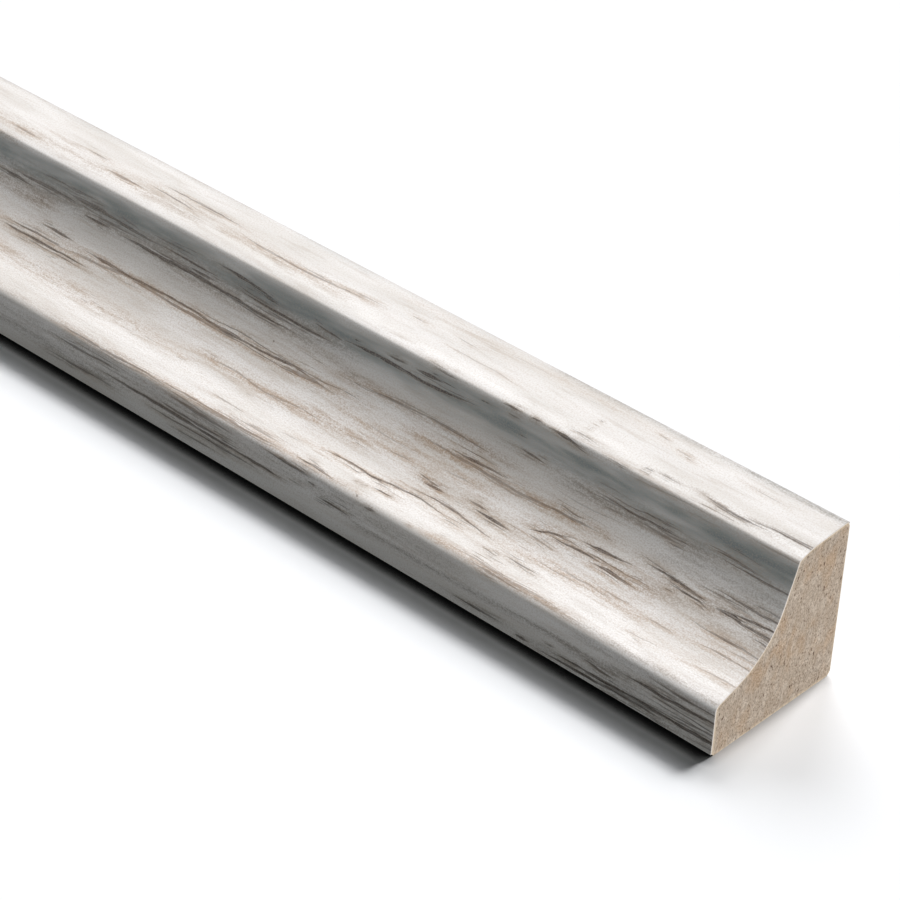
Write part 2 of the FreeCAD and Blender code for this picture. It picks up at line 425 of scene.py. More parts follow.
    (0.24, 0.55, 0.6, -82, 26.4, -77.5, 25.9, -70.8, 25.7, -61.7, 26.2),
    (0.18, 0.5, 0.5, -90, 27.3, -81, 27.3),
    (0.14, 0.35, 0.4, -67, 26.6, -57, 26.7),
    (0.3, 0.6, 0.6, -103, 25.2, -95, 25.3),
    (0.22, 0.5, 0.5, -107.5, 26.6, -102.5, 26.6),
    (0.24, 0.6, 0.5, -96.7, 26.4, -90, 26, -87, 25.6),
    (0.2, 0.65, 0.5, -96, 27.3, -88, 27.4, -80, 27.3),
    (0.3, 0.5, 0.8, -118.7, 24.5, -112.5, 24.6),
])

# half width in mm, tan, brown veil and grey veil, and then the points of the centre line
handStains = strokes(4, [
    (0.8, 0.18, 0, 0, -56, 29.3, -44, 29.3),
    (0.6, 0.5, 0.1, 0, -82, 25.4, -66, 25.3),
    (0.7, 0.4, 0.1, 0.1, -125, 24.8, -88, 24.9),
    (0.5, 0.3, 0.05, 0, -112, 26.2, -62, 26.1),
    (0.45, 0.15, 0.05, 0.4, -36, 30.6, -16, 30.5, 4, 30.4),
    (0.6, 0.15, 0.12, 0.75, -14, 30.6, 4, 30.4),
    (0.4, 0.2, 0, 0.25, -125, 30.7, -85, 30.7),
    (0.7, 0.22, 0, 0, -36, 29.4, -23, 29.4),
    (0.6, 0.4, 0.1, 0, -104, 25.2, -92, 25.4),
    (0.5, 0.6, 0.1, 0, -119, 24.5, -111, 24.5),
    (0.5, 0.55, 0.35, 0, -58, 17.3, -50, 17.3, -37, 17.35),
    (0.9, 0.5, 0.5, 0, -116, 17.8, -109, 17.8),
    (0.55, 0.85, 0.2, 0, -47, 15.2, -40, 15.15, -33, 15.1, -22, 15.5),
    (0.5, 0.5, 0.05, 0, -102, 14.6, -93, 14.8, -82, 14.5, -70, 14.6, -58, 14.5),
    (0.6, 0.5, 0.05, 0, -57, 13.6, -36, 13.6),
    (0.7, 0.65, 0.05, 0, -76, 11.4, -66, 11.3, -57, 11.5),
    (0.8, 0.7, 0.1, 0, -60, 11.7, -54, 11.6),
    (0.6, 0.5, 0, 0, -52, 12.3, -45, 12.4),
    (0.42, 0.6, 0.9, 0, -43.6, 11.45, -41.6, 11.4),
    (0.9, 0.35, 0.1, 0, -44, 11.6, -30, 11.5),
    (0.7, 0.5, 0.2, 0, -29, 13, -14, 13.1),
    (0.5, 0.6, 0.3, 0, -20, 12.8, -15, 12.9),
    (0.7, 0.55, 0, 0, -30, 10.1, -22, 10.2, -14, 10.1),
    (0.6, 0.4, 0.25, 0.1, -12, 14.4, 0, 14.8, 4, 14.8),
    (0.9, 0.12, 0, 0, -14, 9.4, 4, 8.8),
    (0.6, 0.3, 0.1, 0.25, -16, 13.4, 4, 13.3),
    (0.8, 0.5, 0.1, 0, -116, 10.5, -86, 10.5),
    (0.8, 0.35, 0, 0, -9, 10.9, 4, 11.2),
    (0.7, 0.4, 0, 0, -110, 10, -95, 10.2, -80, 10.2),
    (0.35, 0.42, 0.05, 0, -82, 6.2, -50, 6.4),
    (0.4, 0.8, 0.15, 0, -37, 6.25, -20, 6.25),
    (0.75, 0.2, 0.38, 0.5, -27, 18.8, -20, 18.95, -11, 19.1),
    (0.4, 0.2, 0.3, 0.2, -36, 19.2, -30, 19.2),
    (0.5, 0.05, 0.12, 0.55, -11, 19.5, 4, 19.5),
    (0.45, 0, 0, 0.3, -16, 21.9, 4, 22),
    (0.5, 0, 0.1, 0.4, -9, 20.7, 4, 20.8),
    (0.5, 0, 0.1, 0.4, -31, 20.1, -19, 20.2),
    (0.4, 0, 0, 0.6, -62, 20.4, -41, 20.9),
    (0.42, 0, 0, 0.45, -84, 21, -69, 20.8),
    (0.7, 0, 0.1, 0.5, -108, 19.9, -78, 19.7),
    (0.5, 0.1, 0.2, 0.5, -120, 18.9, -96, 18.8, -66, 18.4),
    (0.34, 0, 0.5, 0.55, -47, 2.4, -36, 2.6, -28, 2.85, -20, 3.1, -11, 2.9),
    (1.3, 0, 0.34, 0.6, -125, 20.1, -92, 20, -60, 20.2),
    (0.6, 0.25, 0.15, 0.2, -88, 18, -60, 18.1),
    (0.8, 0, 0, 0.35, -12, 17.9, 4, 17.9),
    (0.6, 0, 0, 0.3, -14, 16.6, 4, 16.7),
    (0.9, 0, 0, 0.4, -92, 4.6, -64, 4.4),
    (0.6, 0, 0, 0.2, -22, 0.8, 4, 1.3),
    (0.5, 0, 0, 0.15, -6, 2.1, 4, 2.3),
    (0.35, 0, 0.2, 0.5, -18, 2.5, -12, 2.3),
    (0.5, 0, 0.1, 0.4, -16, 4.9, 4, 4.75),
    (0.9, 0.05, 0.05, 0.42, -125, 4.1, -80, 4.2, -36, 4.2),
    (0.8, 0.05, 0.12, 0.55, -125, 2.4, -86, 2.5),
    (0.5, 0.25, 0, 0.25, -125, 6.4, -86, 6.3),
    (0.35, 0.25, 0, 0.45, -30, 6.2, -15, 6.15, 4, 6.2),
    (0.6, 0, 0, 0.35, -60, 5.1, -50, 5),
    (0.45, 0, 0.15, 0.5, -12, 3.55, 4, 3.85),
])


def farMarks(rand, girth):  # knots of longer marks, strewn over the length that the listed marks leave
    marks, stains = [], []
    x = -figure["shownLength"] + figure["knotOverlap"]
    while x > -section["length"]:
        x -= rand.uniform(*figure["knotSpacing"])
        s = rand.uniform(0.5, girth - 0.6)
        brown = rand.uniform(0.1, 0.9)
        slope = rand.uniform(-0.02, 0.02)
        for _ in range(rand.choice(figure["knotMarks"])):
            reach = rand.choice(figure["knotReach"]) * rand.uniform(0.8, 1.3)
            start = x + rand.uniform(-14, 8)
            low = s + rand.gauss(0, 0.55) + slope * (start - x)
            bow = rand.uniform(-0.2, 0.2)
            drops = (0.0, bow, bow * rand.uniform(-0.5, 1.2), slope * reach)
            line = [(start - reach + reach * f, low + d) for f, d in zip((0.0, 0.35, 0.7, 1.0), drops)]
            tint = min(0.95, max(0.1, brown + rand.uniform(-0.2, 0.2)))
            marks.append((line, rand.uniform(0.12, 0.34), rand.uniform(0.35, 0.95), tint))
        if rand.random() < figure["knotStained"]:
            ends = [(x - rand.uniform(14, 32), s - 0.2), (x + rand.uniform(0, 12), s - 0.1)]
            half, tan = rand.uniform(0.4, 0.9), brown * rand.uniform(0.4, 0.9)
            stains.append((ends, half, tan, brown * 0.25, 0.4 * (1 - brown)))
    return marks, stains


def surrounds(marks):  # the tan or grey print that a mark lies in, a little below its line
    stains = []
    for points, wide, darkness, brown in marks:
        if darkness < 0.4 or points[-1][0] - points[0][0] < 3:
            continue
        line = [(x, s - 0.14) for x, s in points]
        tan = darkness * max(0.0, brown - 0.15) * 0.95
        grey = darkness * max(0.0, 0.45 - brown) * 1.3
        stains.append((line, wide / 2 + 0.26, min(tan, 0.75), 0.0, grey))
    return stains


def companions(rand, marks):  # hairs that run beside each dark mark
    hairs = []
    for points, wide, darkness, brown in marks:
        reach = points[-1][0] - points[0][0]
        if darkness < 0.5 or reach < 3:
            continue
        for side in rand.sample((-1, 1), rand.choice((1, 1, 2))):
            aside = side * (wide / 2 + rand.uniform(0.10, 0.36))
            slide = rand.uniform(-0.3, 0.3) * reach
            share = rand.uniform(0.4, 0.9)
            middle = (points[0][0] + points[-1][0]) / 2
            line = [(middle + (x - middle) * share + slide, s + aside) for x, s in points]
            hairs.append((line, rand.uniform(0.06, 0.13), darkness * rand.uniform(0.45, 0.85), brown))
    return hairs


def hump(values, centre, half):  # 1 at the centre, falling softly to either side
    return np.exp(-(((values - centre) / half) ** 2))


# For each layer, the offset from its mark's line, the half width and the darkness; and the brownness.
# The xs are mm back from the sawn end and the girths are mm up the girth, and both lists rise.
def drawMarks(xs, girths, marks):
    f = figure
    shape = (len(girths), len(xs))
    offset, width, dark = (np.full((f["layers"],) + shape, rest) for rest in noMark)
    warm = np.full(shape, f["warmth"])
    for points, wide, darkness, brown in marks:
        px, ps = zip(*points)
        columns = np.where((xs > px[0] - f["overrun"]) & (xs < px[-1] + f["overrun"]))[0]
        if len(columns) == 0:
            continue
        x = xs[columns]
        across = girths[:, None] - np.interp(x, px, ps)[None, :]
        near = np.abs(across) < f["zone"]
        ends = np.minimum(x - px[0], px[-1] - x) / min(f["taper"], f["taperShare"] * (px[-1] - px[0]))
        half = (wide * f["boldness"] / 2 + f["softEnd"]) * np.clip(ends, 0, 1) ** f["taperPower"]
        half = half - f["softEnd"] - f["endDrop"] * (ends < 0)
        pale = np.clip(ends * f["fadeRate"], 0, 1) ** f["fadePower"]
        # The mark goes into the layer with the most room under its strip.
        taken = [width[k][:, columns] > noMark[1] for k in range(f["layers"])]
        k = int(np.argmin([layer[near].sum() for layer in taken]))
        rows, cols = np.where(near & ~taken[k])
        at = (k, rows, columns[cols])
        offset[at] = across[rows, cols]
        width[at] = half[cols]
        dark[at] = min(1.0, darkness * f["darkness"]) * pale[cols]
        rows, cols = np.where(near & (ends > 0)[None, :])
        warm[rows, columns[cols]] = brown
        # Outside its strip the mark keeps its true offset, so that no false line shows between strips.
        rim = (np.abs(across) >= f["zone"]) & (np.abs(across) < 2 * f["zone"])
        rows, cols = np.where(rim & (width[k][:, columns] <= noMark[1]))
        offset[k, rows, columns[cols]] = across[rows, cols]
    return offset, width, dark, warm


def drawStains(xs, girths, stains):  # how tan, brown and grey the print is
    least, share, most = figure["stainFade"]
    stain = np.zeros((3, len(girths), len(xs)))
    for points, half, *amounts in stains:
        px, ps = zip(*points)
        fade = min(most, least + share * (px[-1] - px[0]))
        columns = np.where((xs > px[0] - 2 * fade) & (xs < px[-1] + 2 * fade))[0]
        if len(columns) == 0:
            continue
        x = xs[columns]
        across = girths[:, None] - np.interp(x, px, ps)[None, :]
        past = np.maximum(px[0] - x, x - px[-1]).clip(0)
        body = hump(across, 0, half) * hump(past, 0, fade)[None, :]
        for i, amount in enumerate(amounts):
            stain[i][:, columns] = np.maximum(stain[i][:, columns], amount * body)
    warmth = figure["coveTan"] * hump(girths, figure["coveCentre"], figure["coveHalf"])
    stain[0] = 1 - (1 - stain[0]) * (1 - warmth[:, None])
    return stain


def drawPaintedShade(girths):  # how much painted shade lies over the print at each height: on the upper flank, the land and the round at the back
    f = figure
    flank = f["paintedShade"] * hump(girths, f["flankShadeCentre"], f["flankShadeHalf"])
    flank = flank * np.clip((f["flankShadeEnd"] - girths) / f["flankShadeEdge"], 0, 1)
    back = f["backShade"] * hump(girths, girths[-1], f["backHalf"])
    return flank + back + f["landShade"] * np.clip((girths - f["landStart"]) / f["landEdge"], 0, 1)


# Foil

foil = {
    "steps": {"front": 10, "nose": 7, "lower": 7, "cove": 20, "upper": 11, "arris": 5, "land": 13, "back": 4},
    "nearStep": 0.75,      # mm between sections where the listed marks lie
    "farStep": 2.5,        # mm between sections on the rest of the bar
    "wander": 0.035,       # mm that the wrapped face wanders from straight
    "steady": 1.5,         # mm at both edges of the foil over which the wander dies away
    # waves of the wander: how fast they go along and across the bar, shift and weight
    "waves": ((0.05, 0.35, 1.7, 1.0), (0.31, 0.9, 8.2, 0.45)),
}


def makeFoil():
    outer = faceRun(0, section["foilFoot"], foil["steps"])
    inner = [p for p, _ in faceRun(section["foil"], section["foilFoot"], foil["steps"])]
    girths = girthOf([p for p, _ in outer])
    near = np.arange(0, figure["shownLength"], foil["nearStep"])
    farCount = int((section["length"] - figure["shownLength"]) / foil["farStep"]) + 1
    far = np.linspace(figure["shownLength"], section["length"], farCount)
    xs = -np.concatenate([near, far])[::-1]
    rows, cols = len(outer), len(xs)
    endX = section["length"] / 2
    vertices = []
    for (point, angle), s in zip(outer, girths):
        edge = min(1.0, s / foil["steady"], (girths[-1] - s) / foil["steady"])
        push = outward(angle) * foil["wander"] * edge
        for x in xs:
            lift = 0.0
            for alongRate, acrossRate, shift, weight in foil["waves"]:
                lift += weight * noise.noise(Vector((x * alongRate, s * acrossRate, shift)))
            y, z = point + push * lift
            vertices.append(((endX + x) * mm, y * mm, z * mm))
    for x in (xs[0], xs[-1]):
        vertices += [((endX + x) * mm, y * mm, z * mm) for y, z in inner]
    left, right = rows * cols, rows * cols + rows
    faces = []
    for i in range(rows - 1):
        for j in range(cols - 1):
            a = i * cols + j
            faces.append((a, a + 1, a + cols + 1, a + cols))
        faces.append((left + i, left + i + 1, right + i + 1, right + i))
        faces.append((i * cols, (i + 1) * cols, left + i + 1, left + i))
        faces.append((i * cols + cols - 1, right + i, right + i + 1, (i + 1) * cols + cols - 1))
    top = (rows - 1) * cols
    faces.append(tuple(range(cols - 1, -1, -1)) + (left, right))
    faces.append(tuple(range(top, top + cols)) + (right + rows - 1, left + rows - 1))
    piece = makeObject("foilWrap", vertices, faces)

    # Each vertex stores its print and its painted shade, three fields at a time. A field has values on the
    # outer face, and others on the inner vertices, where only the cut paper shows.
    def store(name, *fields):
        layer = piece.data.attributes.new(name, "FLOAT_VECTOR", "POINT")
        whole = [(np.broadcast_to(a, (rows, cols)), np.broadcast_to(b, 2 * rows)) for a, b in fields]
        values = np.stack([np.append(face, edge) for face, edge in whole], 1)
        layer.data.foreach_set("vector", values.astype(np.float32).reshape(-1))

    moreMarks, moreStains = farMarks(random.Random(figure["farSeed"]), float(girths[-1]))
    marks = handMarks + moreMarks
    hairs = companions(random.Random(figure["seed"]), marks)
    drawn = drawMarks(xs, girths, marks + hairs)
    stains = drawStains(xs, girths, handStains + moreStains + surrounds(marks))
    innerX = np.repeat([xs[0], xs[-1]], rows)
    store("place", (xs[None, :], innerX), (girths[:, None], np.tile(girths, 2)), (0, 0))
    for k in range(figure["layers"]):
        store(f"mark{k + 1}", *((field[k], rest) for field, rest in zip(drawn, noMark)))
    store("stain", *((field, 0) for field in stains))
    # the second field of the tone is the painted shade
    store("tone", (drawn[-1], 0), (drawPaintedShade(girths)[:, None], 0), (0, 1))
    return piece


# MDF core

core = {
    "steps": {
        "front": 18, "nose": 5, "lower": 12, "cove": 34, "upper": 16, "arris": 5, "land": 20, "back": 3,
    },
    "backSteps": 56,
    "baseSteps": 56,
    "cornerSteps": 5,
    "rings": 70,
    "stillRings": 3,         # the rim of the sawn face stays where the foil meets it
    "middle": (4.2, 5.0),    # mm, the point that the rings of the sawn face close in on
    "sawDepth": 0.05,        # mm of relief that the saw leaves
    "sawLevel": 0.5,
    "sawWaves": ((0.9, 3.0, 0.5), (4.1, 7.0, 0.35)),   # waves for each mm, shift and weight
    "pitDepth": 0.30,        # mm for each unit of noise above the sill
    "pitWave": (2.3, 11.0),
    "pitSill": 0.42,
    "rim": 0.75,             # how much of the painted edge highlight shows at the very edge
    "rimWidth": 0.34,        # mm
}


def coreOutline():
    s = section
    backY, corner = s["depth"] / 2, core["cornerSteps"]
    face = [p for p, _ in faceRun(s["foil"], s["toeChamfer"], core["steps"])]
    centre, flush = backCorner()
    shoulder = [centre + outward(a) * s["topBackRadius"] for a in spread(flush, -90, corner)[1:]]
    heel = [p for p, _ in roundCorner(np.array([backY, 0.0]), -90, -180, s["heelRadius"], corner)]
    back = spread(shoulder[-1], heel[0], core["backSteps"])[1:-1]
    toe = np.array([face[0][0] + s["toeChamfer"], 0.0])
    base = spread(heel[-1], toe, core["baseSteps"])[1:-1]
    return face + shoulder + back + heel + base + [toe]


def sawRelief(y, z, side):  # mm that the sawn face lies below the saw's highest line
    relief = core["sawLevel"]
    for rate, shift, weight in core["sawWaves"]:
        relief += weight * noise.noise(Vector((y * rate, z * rate, shift + side)))
    rate, shift = core["pitWave"]
    pit = noise.noise(Vector((y * rate, z * rate, shift + side))) - core["pitSill"]
    return max(0.0, core["sawDepth"] * relief + core["pitDepth"] * max(0.0, pit))


def makeCore():
    outline = coreOutline()
    count, rings = len(outline), core["rings"]
    middle = np.array(core["middle"])
    endX = section["length"] / 2
    vertices, faces, edgeHighlights = [], [], []
    for side in (-1, 1):
        start = len(vertices)
        for ring in range(rings):
            share = 1 - ring / rings
            settle = min(1.0, ring / core["stillRings"])
            for point in outline:
                y, z = middle + (point - middle) * share
                x = side * (endX - settle * sawRelief(y, z, side))
                vertices.append((x * mm, y * mm, z * mm))
                inward = np.linalg.norm(point - middle) * (1 - share)
                edgeHighlights.append(core["rim"] * max(0.0, 1 - inward / core["rimWidth"]))
        vertices.append((side * endX * mm, middle[0] * mm, middle[1] * mm))
        edgeHighlights.append(0.0)
        hub = len(vertices) - 1
        for ring in range(rings):
            for k in range(count):
                a, b = start + ring * count + k, start + ring * count + (k + 1) % count
                quad = (a, b, b + count, a + count) if ring < rings - 1 else (a, b, hub)
                faces.append(quad if side > 0 else quad[::-1])
    step = rings * count + 1
    for k in range(count):
        a, b = k, (k + 1) % count
        faces.append((a, b, b + step, a + step))
    piece = makeObject("mdfCore", vertices, faces)
    # the rim holds how much painted edge highlight each vertex takes
    layer = piece.data.attributes.new("rim", "FLOAT", "POINT")
    layer.data.foreach_set("value", edgeHighlights)
    return piece


def smoothSides(piece, angle):
    for polygon in piece.data.polygons:
        polygon.use_smooth = True
    piece.data.set_sharp_from_angle(angle=math.radians(angle))


# Printed foil: whitewashed oak decor paper with a satin lacquer, embossed and wrapped hot over the bar.
# The eye sees a chalky print under a soft sheen, hairline cracks and pores that run with the grain; a painted
# cool grey shade darkens the upper flank.

foilPaint = {
    "colours": {
        "chalk": "#faf6f4",        # open whitewash
        "cool": "#ebe6e2",         # thinner wash
        "greige": "#c9bbae",       # grain that shows through the wash
        "tan": "#b89a7e",
        "brown": "#6f5a4b",
        "crack": "#322d2a",
        "greyVeil": "#7f7d7a",
        "flankShade": "#727e80",    # painted shade: the cool grey that darkens the upper flank
        "foilEdge": "#f6e8d8",     # the white paper that shows at a sawn end
    },
    # noises: grain in mm along and across the bar, shift, detail and roughness
    "woodNoises": {
        "cloud": ((24, 3.0, 1), 3.1, 2.0, 0.55),
        "patch": ((11, 1.7, 1), 51.0, 2.0, 0.55),
        "fibre": ((5.0, 0.46, 1), 9.3, 3.0, 0.6),
        "hair": ((2.8, 0.15, 1), 17.9, 3.0, 0.6),
    },
    "barNoises": {
        "slow": ((26, 7.0, 1), 41.0, 1.0, 0.55),
        "swing": ((6.5, 2.2, 1), 5.7, 2.0, 0.5),
        "shiver": ((1.5, 0.45, 1), 13.3, 2.0, 0.55),
        "breath": ((3.4, 0.9, 1), 23.0, 3.0, 0.6),
        "thread": ((3.0, 0.10, 1), 61.0, 2.0, 0.55),
        "mottle": ((0.75, 0.34, 1), 31.0, 3.0, 0.7),
        "grit": ((0.22, 0.17, 1), 37.0, 2.0, 0.6),
    },
    "stagger": (1.0, 1.7, 1.0),    # share of a noise's shift along each axis
    # ramps: a noise, its low and high, what they become, and the way between them
    "ramps": {
        "sway": ("swing", 0.2, 0.8, -0.16, 0.16, "LINEAR"),         # mm that a mark wanders
        "shake": ("shiver", 0.2, 0.8, -0.05, 0.05, "LINEAR"),
        "swell": ("breath", 0.30, 0.70, 0.55, 1.70, "LINEAR"),      # share of a mark's width
        "busy": ("patch", 0.46, 0.70, 0.0, 0.34, "SMOOTHSTEP"),     # where hairs and fibres crowd
        "thin": ("cloud", 0.36, 0.66, 0.0, 1.0, "SMOOTHSTEP"),      # how thin the wash is
        "coarse": ("fibre", 0.47, 0.66, 0.0, 1.0, "SMOOTHSTEP"),
        "inFibres": ("fibre", 0.34, 0.58, 0.45, 1.0, "SMOOTHSTEP"),
        "inMottles": ("mottle", 0.32, 0.60, 0.30, 1.0, "SMOOTHSTEP"),
        "inGrit": ("grit", 0.40, 0.60, 0.50, 1.35, "SMOOTHSTEP"),
        "inPatches": ("patch", 0.34, 0.64, 0.62, 1.32, "SMOOTHSTEP"),
        "inThreads": ("thread", 0.36, 0.60, 0.60, 1.0, "SMOOTHSTEP"),
        "dust": ("grit", 0.44, 0.74, 0.0, 0.52, "LINEAR"),
        "roughness": ("fibre", 0.3, 0.7, 0.35, 0.48, "LINEAR"),
    },
    "sharpness": 0.03,             # mm inside a mark's edge where it is full
    "haloReach": 0.62,             # mm
    "haloShare": 0.74,
    "crowdByStain": 0.8,
    "crowdShare": 0.70,
    "fibreShare": (0.85, 0.13),    # more of the coarse fibre where it is crowded, and some all over
    "hairCrowd": 0.15,
    "hairSill": (0.66, 0.76),      # where a hair starts, and where it is full
    "hairShare": (0.8, 0.16, 0.70),    # how crowded it gets, and how much a hair shows at none and at that
    "warmHalo": 1.7,
    "poreRate": (0.30, 0.42, 1),   # cells for each mm along and across the bar
    "poreSize": (0.72, 1.0, 0.0, 0.10),    # only the cells of high values have a pore
    "poreEdge": (0.0, 0.03, 0.0, 0.75),
    "emboss": 0.030,               # mm
    "embossStrength": 0.7,
    "relief": {"ink": -1.0, "hairs": -0.5, "mottle": 0.9, "fibre": 0.4, "grit": 0.9},
    "sheen": 0.3,
    "warp": 1.1,                   # mm that the grain wanders across the girth
}


def foilMaterial():
    paint = foilPaint
    made, node = newMaterial("decorFoilWhitewashedOak")
    colour = {name: linear(value) for name, value in paint["colours"].items()}
    names = ("place", "tone", "stain")
    place, tone, stain = (node("Attribute", attribute_name=name).outputs["Vector"] for name in names)
    warm, paintedShade, cutEdge = node("SeparateXYZ", [tone]).outputs
    tanStain, brownStain, greyStain = node("SeparateXYZ", [stain]).outputs

    # the grain wanders: the place is moved across the girth by a slow noise
    noises = addNoises(node, place, paint["barNoises"], stagger=paint["stagger"])
    drift = node("Math", (noises["slow"], paint["warp"], -paint["warp"] / 2), operation="MULTIPLY_ADD")
    shift = node("CombineXYZ", {"Y": drift})
    wood = node("VectorMath", (place, shift), operation="ADD")
    noises |= addNoises(node, wood, paint["woodNoises"], stagger=paint["stagger"])
    ramps = {
        name: node("MapRange", (noises[source], *values), interpolation_type=way)
        for name, (source, *values, way) in paint["ramps"].items()
    }

    # marks: each layer holds the offset from its line, its half width and its darkness
    jitter = node("Math", (ramps["sway"], ramps["shake"]), operation="ADD")
    ink, halo = 0.0, 0.0
    for k in range(figure["layers"]):
        mark = node("Attribute", attribute_name=f"mark{k + 1}").outputs["Vector"]
        offset, width, dark = node("SeparateXYZ", [mark]).outputs
        away = node("Math", (offset, jitter), operation="ADD")
        away = node("Math", [away], operation="ABSOLUTE")
        swollen = node("Math", (width, ramps["swell"]), operation="MULTIPLY")
        inside = node("Math", (swollen, away), operation="SUBTRACT")
        line = node("MapRange", (inside, -figure["softEnd"], paint["sharpness"], 0.0, dark), **smooth)
        near = node("MapRange", (away, 0.0, paint["haloReach"], dark, 0.0), **smooth)
        ink = node("Math", (line, ink), operation="MAXIMUM")
        halo = node("Math", (near, halo), operation="MAXIMUM")

    # grain: broad fibres and fine hairs, thicker on the page where a mark or a stain is near
    crowd = node("Math", (tanStain, paint["crowdByStain"]), operation="MULTIPLY")
    crowd = node("Math", (halo, crowd), operation="MAXIMUM")
    crowd = node("Math", (crowd, paint["crowdShare"], ramps["busy"]), operation="MULTIPLY_ADD", use_clamp=True)
    fibreShare = node("Math", (crowd, *paint["fibreShare"]), operation="MULTIPLY_ADD")
    hairs = node("Math", (crowd, paint["hairCrowd"], noises["hair"]), operation="MULTIPLY_ADD")
    hairs = node("MapRange", (hairs, *paint["hairSill"], 0.0, 1.0), **smooth)
    most, *shares = paint["hairShare"]
    hairShare = node("MapRange", (crowd, 0.0, most, *shares), **smooth)

    # pores: specks of about 0.15 mm, strewn a few millimetres apart
    poreSpace = node("VectorMath", (place, paint["poreRate"]), operation="MULTIPLY")
    pores = node("TexVoronoi", {"Vector": poreSpace, "Scale": 1.0}).outputs
    pore = node("MapRange", (pores["Color"], *paint["poreSize"]))
    pore = node("Math", (pore, pores["Distance"]), operation="SUBTRACT")
    pore = node("MapRange", (pore, *paint["poreEdge"]), **smooth)

    # colour: one layer over the other, each with the two shares that set how much of it shows
    broken = node("Math", (ramps["inFibres"], ramps["inMottles"]), operation="MULTIPLY")
    broken = node("Math", (broken, ramps["inGrit"]), operation="MULTIPLY")
    haloShare = node("Math", (broken, paint["haloShare"]), operation="MULTIPLY")
    warmth = node("Math", (warm, paint["warmHalo"]), operation="MULTIPLY", use_clamp=True)
    haloColour = node("Mix", {0: warmth, 6: colour["greyVeil"], 7: colour["tan"]}, data_type="RGBA")
    hairColour = node("Mix", {0: warm, 6: colour["crack"], 7: colour["brown"]}, data_type="RGBA")
    body = colour["chalk"]
    for first, second, over in (
        (ramps["thin"], 1.0, colour["cool"]),
        (ramps["coarse"], fibreShare, colour["greige"]),
        (tanStain, broken, colour["tan"]),
        (brownStain, broken, colour["brown"]),
        (greyStain, broken, colour["greyVeil"]),
        # painted shade over the upper flank, the land and the back edge, broken up by patches
        (paintedShade, ramps["inPatches"], colour["flankShade"]),
        (halo, haloShare, haloColour),
        (hairs, hairShare, hairColour),
        (ink, ramps["inThreads"], hairColour),
        (pore, 1.0, colour["brown"]),
        (ramps["dust"], 1.0, colour["greige"]),
        (cutEdge, 1.0, colour["foilEdge"]),
    ):
        share = node("Math", (first, second), operation="MULTIPLY")
        body = node("Mix", {0: share, 6: body, 7: over}, data_type="RGBA")

    # emboss: the lacquer sinks into cracks and pores, and stays faintly rough between them
    sources = {**noises, "ink": ink, "hairs": hairs}
    relief = 0.0
    for name, height in paint["relief"].items():
        relief = node("Math", (sources[name], height, relief), operation="MULTIPLY_ADD")
    bump = {"Strength": paint["embossStrength"], "Distance": paint["emboss"] * mm, "Height": relief}
    shader = node("BsdfPrincipled", {
        "Base Color": body,
        "Roughness": ramps["roughness"],
        "Specular IOR Level": paint["sheen"],
        "Normal": node("Bump", bump),
    })
    node("OutputMaterial", [shader])
    return made


# MDF: pressed wood fibre, moulded on the long faces and sawn across at the ends.
# The eye sees a dry greige face of short matted fibres, dark bark specks and a pale warm painted highlight
# along the edges of the sawn faces.

mdfPaint = {
    "colours": {
        "fibre": "#bba894",
        "pale": "#eadbca",
        "grey": "#a99888",
        "warm": "#c6a37f",
        "dark": "#5f493a",
        "rim": "#f0dcbf",        # painted highlight along the edges of the sawn faces, pale and a little warm
    },
    # noises: grain in mm along X, Y and Z, shift, detail and roughness
    "noises": {
        "cloud": ((8, 3.0, 5.0), 2.0, 2.0, 0.6),
        "chill": ((6, 1.6, 2.6), 29.0, 2.0, 0.6),
        "mat": ((0.9, 0.34, 0.56), 7.0, 4.0, 0.65),
        "fuzz": ((0.3, 0.17, 0.23), 19.0, 2.0, 0.65),
        "speck": ((0.8, 0.30, 0.52), 13.0, 1.0, 0.6),
        "pit": ((0.9, 0.42, 0.75), 43.0, 1.0, 0.6),
    },
    # layers over the grey: a noise, its low and high, how much of the colour shows at each, and the colour
    "layers": (
        ("mat", 0.30, 0.68, 0.0, 1.0, "pale"),
        ("chill", 0.35, 0.65, 0.25, 0.75, "fibre"),
        ("cloud", 0.46, 0.70, 0.0, 0.50, "warm"),
        ("fuzz", 0.50, 0.72, 0.0, 0.62, "dark"),
        ("fuzz", 0.47, 0.28, 0.0, 0.62, "pale"),
        ("speck", 0.64, 0.73, 0.0, 0.80, "dark"),
        ("pit", 0.70, 0.75, 0.0, 0.95, "dark"),
    ),
    "edgeHighlight": (0.25, 0.60, 0.35, 1.0),     # where the mat breaks the painted edge highlight up
    "edgeHighlightDepth": (0.3, 0.2),             # mm from the end where the painted edge highlight starts and is full
    "roughness": 0.85,
    "nap": 0.055,            # mm that the fibres stand up
    "napStrength": 0.9,
    "sheen": 0.2,
    "lean": 10.0,            # degrees that the fibre mats lean off upright
}


